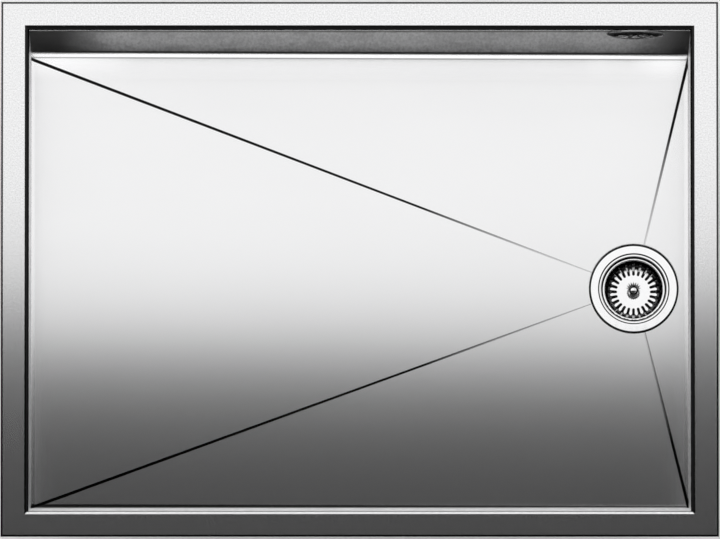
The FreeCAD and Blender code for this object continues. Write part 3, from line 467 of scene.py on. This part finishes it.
def wall_finish(name, colour, rough, glancing=1.0, ends=1.0, flat=0.0):
    """Wall sheet with cloudy upright grain, with painted shade along the welds with the rim and the floor.

    Glancing is the sheen at a low angle, ends the painted shade at the left and right ends, and flat the
    share by which it is shaded flatter, or steeper where that is below nought."""
    finish = Finish(name, colour, rough, 1.0)
    grain = finish.noise((350, 350, 45), 3.0, 0.6)
    clouds = finish.noise((45, 45, 22), 3.0, 0.6)
    spot = finish.coords.outputs["Object"]
    facing = finish.facing()
    over_weld = finish.math("ADD", finish.along(spot, (FLOOR_FALL, 0, 1)), WELD_DEPTH)
    # Painted shade near the floor, below the rim and towards the ends, on the inner side only, in colour
    # and sheen
    low = finish.spread(over_weld, 0.03, 1, 8 * MM, 16 * MM)
    high = finish.spread(finish.along(spot, UP), 1, 0.3, -26 * MM, -18 * MM)
    middle = 11.5 * MM
    sideways = finish.absolute(finish.math("SUBTRACT", finish.along(spot, RIGHT), middle))
    inside = finish.times(low, high, finish.spread(sideways, 1, ends, 272 * MM, 333 * MM))
    inward = inner_side(finish, spot, facing)
    shade = finish.rest_of(finish.times(inward, finish.rest_of(inside)))
    fine = finish.spread(grain, 0.6, 1.4, 0.35, 0.65)
    mottle = finish.times(fine, finish.spread(clouds, 0.8, 1.2, 0.35, 0.65))
    square = finish.times(finish.spread(mottle, 0.8, 1.2, 0.5, 1.5), finish.spread(shade, 0.3, 1, 0, 1))
    finish.tint(square, finish.times(mottle, shade, glancing))
    finish.rough(finish.spread(grain, rough - 0.05, rough + 0.05))
    if flat:
        finish.lie(facing, finish.times(inward, flat))
    return finish.material


def rib_ends(finish, radius, ribs):
    """What the radius gains between ribs, so that the painted shade gives their inner ends a round outline.
    """
    spot = finish.seen_from(DRAIN)
    angle = finish.math("ARCTAN2", finish.along(spot, REAR), finish.along(spot, RIGHT))
    swing = finish.math("PINGPONG", finish.times(angle, ribs / math.tau), 0.5)
    gap = finish.rest_of(finish.times(swing, 2))
    near = finish.math("LESS_THAN", radius, RIB_END)
    return finish.times(gap, gap, near, RIB_ROUNDING)


def polished(name, settings, stops=None, ribs=0, axis=(DRAIN,), least=0.0, within=0.0, above=None):
    """Polished steel with faint handling marks.

    Stops give its painted shade by the radius from an axis, the drain's unless another is given. Least is
    the lowest painted shade seen square on, within a radius. Ribs get round ends in the painted shade.
    Where a height is given, the painted shade is left out below it. Lengths are in millimetres."""
    rough = settings.polished_rough
    finish = Finish(name, settings.polished, rough, 1.0)
    marks = finish.noise((140, 140, 140), 3.0, 0.55)
    finish.rough(finish.spread(marks, rough - 0.03, rough + 0.04))
    share = finish.spread(marks, 0.97, 1.01)
    square = share
    if stops:
        radius = finish.radius(*axis)
        floor = finish.times(finish.math("LESS_THAN", radius, within * MM), least)
        if ribs:
            radius = finish.math("ADD", radius, rib_ends(finish, radius, ribs))
        # Painted shade laid by the radius from the axis
        level = finish.steps(radius, 50 * MM, stops)
        if above is not None:
            height = finish.along(finish.seen_from(DRAIN), UP)
            level = finish.most(level, finish.math("LESS_THAN", height, above * MM))
        share = finish.times(share, level)
        square = finish.most(share, floor)
    finish.tint(square, share)
    return finish.material


def polished_steel(settings):
    """Screw, post and nut, with no shade of their own."""
    return polished("polished_steel", settings)


def cup_steel(settings):
    """Bright flange and ledge; painted shade darkens the hollow, the mouth and the rounded edge."""
    stops = (
        (0, 0.3), (35.2, 0.3), (35.6, 1), (36.8, 1), (37.0, 0.04), (38.1, 0.04),
        (38.4, 1), (45.7, 1), (46.0, 0.02))
    return polished("cup_steel", settings, stops, least=0.45, within=35.4)


def basket_steel(settings):
    """Bright disc, ribs and lip; painted shade darkens the wall between them."""
    stops = ((0, 1), (25.0, 1), (25.5, 0.05), (30.7, 0.05), (31.1, 1), (32.9, 1), (33.2, 0.04))
    return polished("basket_steel", settings, stops, RIBS, least=0.08, within=32.0)


def cover_steel(settings):
    """Grille and screw of the overflow, darkened by painted shade within a bright ring."""
    stops = ((0, 0.12), (24.5, 0.12), (27.0, 0.3), (30.0, 0.5))
    return polished("cover_steel", settings, stops, axis=(OVERFLOW, (1, 0, 1)), least=0.5, within=40.0)


def knob_steel(settings):
    """Bright dome, with painted shade round its edge."""
    stops = ((0, 1), (2.9, 1), (3.3, 0.02))
    return polished("knob_steel", settings, stops, above=-17.6)


def seal_rubber(settings):
    """Black rubber with a faint bloom."""
    finish = Finish("seal_rubber", settings.seal, 0.55)
    bloom = finish.noise((260, 260, 260), 4.0, 0.6)
    finish.tint(finish.spread(bloom, 0.7, 1.5))
    finish.rough(finish.spread(bloom, 0.48, 0.66))
    finish.bump(bloom, 0.15, 0.1 * MM)
    return finish.material


def mat_rubber(settings):
    """Rubber mat with a fine pebbled face."""
    finish = Finish("mat_rubber", settings.mat, 0.7)
    pebbles = finish.noise((420, 420, 420), 2.0, 0.5)
    dust = finish.noise((22, 22, 22), 3.0, 0.6)
    finish.tint(finish.times(finish.spread(pebbles, 0.8, 1.15), finish.spread(dust, 0.88, 1.12)))
    finish.rough(finish.spread(dust, 0.62, 0.8))
    finish.bump(pebbles, 0.35, 0.6 * MM)
    return finish.material


def moulded_plastic(settings):
    """Matt moulded fittings with a spark-eroded texture."""
    finish = Finish("waste_plastic", settings.plastic, 0.45)
    texture = finish.noise((700, 700, 700), 2.0, 0.5)
    flow = finish.noise((35, 35, 35), 2.0, 0.5)
    finish.tint(finish.spread(flow, 0.85, 1.2))
    finish.rough(finish.math("ADD", finish.spread(texture, -0.05, 0.06), finish.spread(flow, 0.4, 0.48)))
    finish.bump(texture, 0.12, 0.1 * MM)
    return finish.material


def studio_floor(colour):
    """Matt floor that is clear from below."""
    finish = Finish("studio_floor", colour, 0.85)
    finish.tint(finish.spread(finish.noise((3, 3, 3), 2.0), 0.985, 1.0))
    clear = finish.node("ShaderNodeBsdfTransparent")
    mix = finish.node("ShaderNodeMixShader")
    finish.join(finish.node("ShaderNodeNewGeometry").outputs["Backfacing"], mix.inputs["Fac"])
    finish.join(finish.shader.outputs["BSDF"], mix.inputs[1])
    finish.join(clear.outputs["BSDF"], mix.inputs[2])
    finish.join(mix.outputs["Shader"], finish.tree.nodes["Material Output"].inputs["Surface"])
    return finish.material


MAKERS = {
    "satin_steel": (satin_steel, "sink_steel"),
    "brushed_steel": (brushed_steel, "sink_steel"),
    "side_steel": (side_steel, "sink_steel"),
    "front_steel": (front_steel, "sink_steel"),
    "rear_steel": (rear_steel, "sink_steel"),
    "polished_steel": (polished_steel, "sink_steel"),
    "cup_steel": (cup_steel, "sink_steel"),
    "basket_steel": (basket_steel, "sink_steel"),
    "knob_steel": (knob_steel, "sink_steel"),
    "cover_steel": (cover_steel, "sink_steel"),
    "seal_rubber": (seal_rubber, "sink_soft"),
    "mat_rubber": (mat_rubber, "sink_soft"),
    "waste_plastic": (moulded_plastic, "sink_soft"),
}
made_finishes = {}


def finish_named(name):
    """The finish of that name, made at its first use."""
    if name not in made_finishes:
        maker, group = MAKERS[name]
        made_finishes[name] = maker(getattr(bpy.context.scene, group))
    return made_finishes[name]


def dress(names, finish):
    """Give CAD nodes a finish."""
    for name in names:
        node = NODES[name]
        node.data.materials.clear()
        node.data.materials.append(finish_named(finish))


# Shapes

def round_off(made, geom, size, segments, affect):
    """Round corners or edges by a size."""
    bmesh.ops.bevel(
        made, geom=geom, offset=size, offset_type="OFFSET", segments=segments, profile=0.5,
        affect=affect, material=-1)


def outline(points, closed=True, segments=5):
    """Loose edges through points of radius, height and rounding, in millimetres, in the XZ plane."""
    made = bmesh.new()
    corners = [made.verts.new((x * MM, 0, z * MM)) for x, z, _ in points]
    for one, two in zip(corners, corners[1:] + corners[:1] if closed else corners[1:]):
        made.edges.new((one, two))
    for corner, (_, _, rounding) in zip(corners, points):
        if rounding:
            round_off(made, [corner], rounding * MM, segments, "VERTICES")
    return made


def turn(made, steps, angle=math.tau):
    """Spin loose edges round the upright axis."""
    bmesh.ops.spin(
        made, geom=made.verts[:] + made.edges[:], cent=(0, 0, 0), axis=UP, dvec=(0, 0, 0),
        angle=angle, steps=steps, use_merge=angle == math.tau)
    bmesh.ops.remove_doubles(made, verts=made.verts[:], dist=1e-6)
    loose = [vert for vert in made.verts if not vert.link_faces]
    bmesh.ops.delete(made, geom=loose, context="VERTS")
    bmesh.ops.recalc_face_normals(made, faces=made.faces[:])


def turned(points, steps, segments=5):
    """A solid turned from a closed outline."""
    made = outline(points, segments=segments)
    turn(made, steps)
    return made


def split(made, point, normal):
    """Cut all faces along a plane, and keep both sides."""
    bmesh.ops.bisect_plane(
        made, geom=made.verts[:] + made.edges[:] + made.faces[:], dist=1e-7,
        plane_co=point, plane_no=normal)


def slotted_sheet(points, count, start, stop, width, top, steps=6):
    """A turned sheet with slots that have round ends; one sector is cut and repeated.

    A slot goes from a start to a stop radius, below a top height."""
    made = outline(points, closed=False)
    bmesh.ops.rotate(
        made, verts=made.verts[:], cent=(0, 0, 0), matrix=Matrix.Rotation(-math.pi / count, 3, "Z"))
    turn(made, steps, math.tau / count)
    half = width / 2
    sides = [
        (Vector((0, half, 0)), Vector(REAR)),
        (Vector((0, -half, 0)), -Vector(REAR)),
        (Vector((0, 0, top)), Vector(UP))]
    for end, way in ((start, -1), (stop, 1)):
        for degrees in range(-75, 90, 15):
            lean = math.radians(degrees)
            normal = Vector((way * math.cos(lean), math.sin(lean), 0))
            sides.append((Vector((end - way * half, 0, 0)) + normal * half, normal))
    for point, normal in sides:
        split(made, point, normal)
    inside = []
    for face in made.faces:
        middle = face.calc_center_median()
        if all((middle - point).dot(normal) < 0 for point, normal in sides):
            inside.append(face)
    if not inside:
        raise RuntimeError("no slot was cut")
    bmesh.ops.delete(made, geom=inside, context="FACES")
    bmesh.ops.spin(
        made, geom=made.verts[:] + made.edges[:] + made.faces[:], cent=(0, 0, 0), axis=UP,
        dvec=(0, 0, 0), angle=math.tau * (count - 1) / count, steps=count - 1, use_duplicate=True)
    bmesh.ops.remove_doubles(made, verts=made.verts[:], dist=2e-6)
    bmesh.ops.recalc_face_normals(made, faces=made.faces[:])
    flat = max(made.faces, key=lambda face: abs(face.normal.z))
    if flat.normal.z < 0:
        bmesh.ops.reverse_faces(made, faces=made.faces[:])
    return made


def place(made, spot, turning=None):
    """Turn a shape, where a turning is given, and move it to a spot."""
    if turning is not None:
        bmesh.ops.transform(made, matrix=turning, verts=made.verts[:])
    bmesh.ops.translate(made, vec=spot, verts=made.verts[:])


def piece(name, made, finish, slot, body, *replaced):
    """Turn a bmesh into a piece of the sink that stands for CAD nodes."""
    mesh = bpy.data.meshes.new(name)
    made.to_mesh(mesh)
    made.free()
    mesh.polygons.foreach_set("use_smooth", [True] * len(mesh.polygons))
    mesh.set_sharp_from_angle(angle=SHARP)
    mesh.materials.append(finish_named(finish))
    thing = bpy.data.objects.new(name, mesh)
    bpy.context.scene.collection.objects.link(thing)
    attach(thing, body)
    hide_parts(*replaced)
    return thing


def flatten_shading(thing):
    """Keep flat faces flat beside rounded edges."""
    weighted = thing.modifiers.new("flat_faces", "WEIGHTED_NORMAL")
    weighted.keep_sharp = True
    weighted.weight = 70


def thicken(thing, gauge):
    """Give a sheet its thickness, below its face, and break its edges."""
    wall = thing.modifiers.new("gauge", "SOLIDIFY")
    wall.thickness = gauge
    wall.offset = -1
    wall.use_even_offset = True
    edge = thing.modifiers.new("broken_edges", "BEVEL")
    edge.width = gauge / 6
    edge.segments = 2
    edge.limit_method = "ANGLE"
    edge.angle_limit = math.radians(50)


# Operators

class SINK_OT_sheet_steel(bpy.types.Operator):
    """Finish the rim, the walls and the floor"""

    bl_idname = "sink.sheet_steel"
    bl_label = "Sheet Steel"

    def execute(self, context):
        dress(("rim_frame",), "satin_steel")
        dress(("floor_pan",), "brushed_steel")
        dress(("wall_left", "wall_right"), "side_steel")
        dress(("wall_front",), "front_steel")
        dress(("wall_rear",), "rear_steel")
        return {"FINISHED"}


class SINK_OT_strainer_cup(bpy.types.Operator):
    """Make the strainer cup with its rounded flange"""

    bl_idname = "sink.strainer_cup"
    bl_label = "Strainer Cup"

    def execute(self, context):
        settings = context.scene.sink_strainer
        throat, wall, screw_hole = 37.4, 34.5, 4.2
        ledge, bottom = -1.8, -42.0
        sheet = [
            (settings.flange / MM, 0, 0), (throat, 0, 0.7), (throat, ledge, 0.4),
            (wall, ledge, 0.6), (wall, bottom, 6.0), (screw_hole, bottom, 0)]
        made = slotted_sheet(
            sheet, count=6, start=10.2 * MM, stop=19.8 * MM, width=9.6 * MM, top=-30 * MM,
            steps=settings.steps // 6)
        place(made, DRAIN)
        shell = piece("strainer_shell", made, "cup_steel", "polished_steel", "sink", "strainer_cup")
        thicken(shell, 1.2 * MM)
        flatten_shading(shell)
        dress(("cup_screw",), "polished_steel")
        return {"FINISHED"}


class SINK_OT_basket(bpy.types.Operator):
    """Make the slotted basket with its knob and post"""

    bl_idname = "sink.basket"
    bl_label = "Basket"

    def execute(self, context):
        settings = context.scene.sink_strainer
        lip, wall, foot, post_hole = 34.0, 31.0, 29.4, 2.4
        lip_edge, lip_top, bottom = -8.9, -7.5, -29.0
        sheet = [
            (lip, lip_edge, 0), (lip, lip_top, 0.8), (wall, lip_top, 0.9),
            (foot, bottom, 4.0), (post_hole, bottom, 0)]
        made = slotted_sheet(
            sheet, settings.slots, settings.slot_start, stop=45 * MM, width=settings.slot_width,
            top=-21 * MM)
        place(made, DRAIN)
        basket = piece("slotted_basket", made, "basket_steel", "polished_steel", "basket", "basket")
        thicken(basket, 0.8 * MM)
        bore, bore_top = 2.3, -22.0
        base, waist, head = 3.9, 3.0, 4.7
        dome_radius, dome_middle = 8.0, -22.0
        dome = [
            (radius, math.sqrt(dome_radius * dome_radius - radius * radius) + dome_middle, 0)
            for radius in (3.7, 2.8, 1.9, 1.0, 0)]
        knob = turned([
            (bore, bottom, 0), (base, bottom, 0), (base, -27.8, 0.6), (waist, -26.0, 0.8),
            (waist, -20.2, 1.0), (head, -18.6, 0.6), (head, -15.9, 0.6), *dome,
            (0, bore_top, 0), (bore, bore_top, 0),
        ], 64, segments=8)
        place(knob, DRAIN)
        handle = piece("lifting_knob", knob, "knob_steel", "polished_steel", "basket", "basket_knob")
        flatten_shading(handle)
        dress(("basket_post", "post_nut"), "polished_steel")
        return {"FINISHED"}


class SINK_OT_stopper(bpy.types.Operator):
    """Make the rubber stopper under the basket"""

    bl_idname = "sink.stopper"
    bl_label = "Stopper"

    def execute(self, context):
        bore, hub, skirt, lip = 2.3, 7.0, 22.0, 24.0
        top, shoulder, bottom = -29.8, -36.2, -41.7
        wall, middle = 1.6, 4.0
        made = turned([
            (bore, top, 0), (hub, top, 0.6), (hub, top - 1.8, 0.8), (skirt, shoulder, 3.0),
            (lip, bottom, 0.5), (lip - wall, bottom, 0.4), (skirt - wall, shoulder - wall, 2.0),
            (hub, top - middle, 0.8), (bore, top - middle, 0),
        ], 72)
        place(made, DRAIN)
        stopper = piece("rubber_stopper", made, "seal_rubber", "seal_rubber", "basket", "basket_stopper")
        flatten_shading(stopper)
        return {"FINISHED"}


class SINK_OT_overflow_cover(bpy.types.Operator):
    """Make the slotted overflow cover and its screw"""

    bl_idname = "sink.overflow_cover"
    bl_label = "Overflow Cover"

    def execute(self, context):
        facing = Matrix.Rotation(math.pi / 2, 4, "X")
        edge, shoulder, face, screw_hole = 31.0, 29.8, 22.0, 2.6
        top = 3.0
        sheet = [(edge, 0.0, 0), (shoulder, 1.4, 1.0), (face, top, 3.0), (screw_hole, top, 0)]
        made = slotted_sheet(sheet, count=12, start=8 * MM, stop=21 * MM, width=4 * MM, top=10 * MM)
        place(made, OVERFLOW, facing)
        cover = piece("slotted_cover", made, "cover_steel", "polished_steel", "sink", "overflow_cover")
        thicken(cover, 1.0 * MM)
        head, shank = 4.5, 2.4
        head_top, tip = 4.6, -15.0
        screw = turned([
            (0, head_top, 0), (head, head_top, 1.2), (head, top, 0), (shank, top, 0), (shank, tip, 0.5),
            (0, tip, 0),
        ], 48)
        place(screw, OVERFLOW, facing)
        fixing = piece("cover_screw", screw, "cover_steel", "polished_steel", "sink", "overflow_screw")
        flatten_shading(fixing)
        return {"FINISHED"}


class SINK_OT_waste(bpy.types.Operator):
    """Finish the moulded waste and overflow fittings and their seals"""

    bl_idname = "sink.waste"
    bl_label = "Waste Fittings"

    def execute(self, context):
        dress(("waste_body", "overflow_housing", "overflow_pipe", "pipe_nut_upper", "pipe_nut_lower"),
              "waste_plastic")
        dress(("flange_seal", "body_gasket", "overflow_seal", "pipe_seal_upper", "pipe_seal_lower"),
              "seal_rubber")
        return {"FINISHED"}


class SINK_OT_mats(bpy.types.Operator):
    """Make the sound-deadening mats with rounded corners"""

    bl_idname = "sink.mats"
    bl_label = "Sound Mats"

    def execute(self, context):
        middle = Vector((0, 0, -100 * MM))
        corner_size, edge_size, longest_through = 12 * MM, 0.8 * MM, 5 * MM
        for name in sorted(NODES):
            if not name.startswith("mat_"):
                continue
            made = bmesh.new()
            made.from_mesh(NODES[name].data)
            bmesh.ops.remove_doubles(made, verts=made.verts[:], dist=1e-6)
            bmesh.ops.dissolve_limit(
                made, angle_limit=math.radians(1), verts=made.verts[:], edges=made.edges[:])
            corners = [edge for edge in made.edges if edge.calc_length() < longest_through]
            round_off(made, corners, corner_size, 6, "EDGES")
            faces = sorted(made.faces, key=lambda face: face.calc_area())[-2:]
            outer = max(faces, key=lambda face: (face.calc_center_median() - middle).length)
            round_off(made, outer.edges[:], edge_size, 3, "EDGES")
            flatten_shading(piece(
                name.replace("mat_", "sound_mat_"), made, "mat_rubber", "mat_rubber", "sink", name))
        return {"FINISHED"}


class SINK_OT_stage(bpy.types.Operator):
    """Set the floor, the lamps, the room and the camera"""

    bl_idname = "sink.stage"
    bl_label = "Stage"

    def execute(self, context):
        settings = context.scene.sink_stage
        self.floor(context, settings)
        self.lamps(context, settings)
        self.room(context, settings)
        self.camera(context, settings)
        context.scene.view_settings.view_transform = "Standard"
        return {"FINISHED"}

    def floor(self, context, settings):
        reach, gap = 60, 0.2 * MM
        made = bmesh.new()
        bmesh.ops.create_grid(made, x_segments=1, y_segments=1, size=reach)
        bmesh.ops.translate(made, verts=made.verts[:], vec=(0, 0, CAD_BOX[0].z - gap))
        mesh = bpy.data.meshes.new("studio_floor")
        made.to_mesh(mesh)
        made.free()
        mesh.materials.append(studio_floor(settings.floor))
        plane = bpy.data.objects.new("studio_floor", mesh)
        context.scene.collection.objects.link(plane)

    def lamp(self, context, name, spot, size, level):
        """A panel that faces down; level is its brightness as a surface."""
        data = bpy.data.lights.new(name, "AREA")
        data.shape = "RECTANGLE"
        data.size, data.size_y = size
        data.energy = level * math.pi * size[0] * size[1]
        panel = bpy.data.objects.new(name, data)
        panel.location = spot
        panel.visible_camera = False
        context.scene.collection.objects.link(panel)
        return panel

    def lamps(self, context, settings):
        depth = settings.panel_depth
        spot = (0, settings.panel_front + depth / 2, settings.panel_height)
        self.lamp(context, "rear_panel", spot, (settings.panel_width, depth), settings.panel_level)
        size = (settings.fill_size, settings.fill_size)
        fill = self.lamp(context, "soft_fill", (0, 0, settings.fill_height), size, settings.fill_level)
        fill.visible_glossy = False

    def room(self, context, settings):
        """Bright round the horizon and dark overhead; a share of nought is the horizon, one is overhead."""
        world = bpy.data.worlds.new("studio_room")
        world.use_nodes = True
        tree = world.node_tree
        coords = tree.nodes.new("ShaderNodeTexCoord")
        parts = tree.nodes.new("ShaderNodeSeparateXYZ")
        tree.links.new(coords.outputs["Generated"], parts.inputs["Vector"])
        ramp = tree.nodes.new("ShaderNodeValToRGB")
        tree.links.new(parts.outputs["Z"], ramp.inputs["Fac"])
        stops = ramp.color_ramp.elements
        levels = (
            (0.0, settings.horizon), (0.25, settings.horizon), (0.5, settings.horizon * 0.8),
            (0.75, settings.zenith * 1.6), (1.0, settings.zenith))
        for share, _ in levels[1:-1]:
            stops.new(share)
        for stop, (share, level) in zip(stops, levels):
            stop.position = share
            stop.color = (level, level, level, 1)
        back = tree.nodes["Background"]
        tree.links.new(ramp.outputs["Color"], back.inputs["Color"])
        context.scene.world = world

    def camera(self, context, settings):
        data = bpy.data.cameras.new("camera")
        data.lens = data.sensor_width * settings.distance / settings.view_width
        data.clip_end = settings.distance * 3
        camera = bpy.data.objects.new("camera", data)
        back = Vector((0, -math.sin(settings.tilt), math.cos(settings.tilt)))
        camera.location = Vector(settings.aim) + back * settings.distance
        camera.rotation_euler = (settings.tilt, 0, 0)
        context.scene.collection.objects.link(camera)
        context.scene.camera = camera


class SINK_PT_panel(bpy.types.Panel):
    """Lists the sink's pieces"""

    bl_idname = "SINK_PT_panel"
    bl_label = "Sink"
    bl_space_type = "VIEW_3D"
    bl_region_type = "UI"
    bl_category = "Sink"

    def draw(self, context):
        for operator in OPERATORS:
            self.layout.operator(operator.bl_idname)
        for name, group in SETTINGS:
            box = self.layout.box()
            settings = getattr(context.scene, name)
            for key in group.__annotations__:
                box.prop(settings, key)


OPERATORS = (
    SINK_OT_stage, SINK_OT_sheet_steel, SINK_OT_strainer_cup, SINK_OT_basket, SINK_OT_stopper,
    SINK_OT_overflow_cover, SINK_OT_waste, SINK_OT_mats,
)


def register():
    for name, group in SETTINGS:
        bpy.utils.register_class(group)
        setattr(bpy.types.Scene, name, PointerProperty(type=group))
    for operator in OPERATORS:
        bpy.utils.register_class(operator)
    bpy.utils.register_class(SINK_PT_panel)


def unregister():
    bpy.utils.unregister_class(SINK_PT_panel)
    for operator in reversed(OPERATORS):
        bpy.utils.unregister_class(operator)
    for name, group in reversed(SETTINGS):
        delattr(bpy.types.Scene, name)
        bpy.utils.unregister_class(group)


def main():
    register()
    bpy.ops.sink.stage()
    bpy.ops.sink.sheet_steel()
    bpy.ops.sink.strainer_cup()
    bpy.ops.sink.basket()
    bpy.ops.sink.stopper()
    bpy.ops.sink.overflow_cover()
    bpy.ops.sink.waste()
    bpy.ops.sink.mats()


if __name__ == "__main__":
    main()
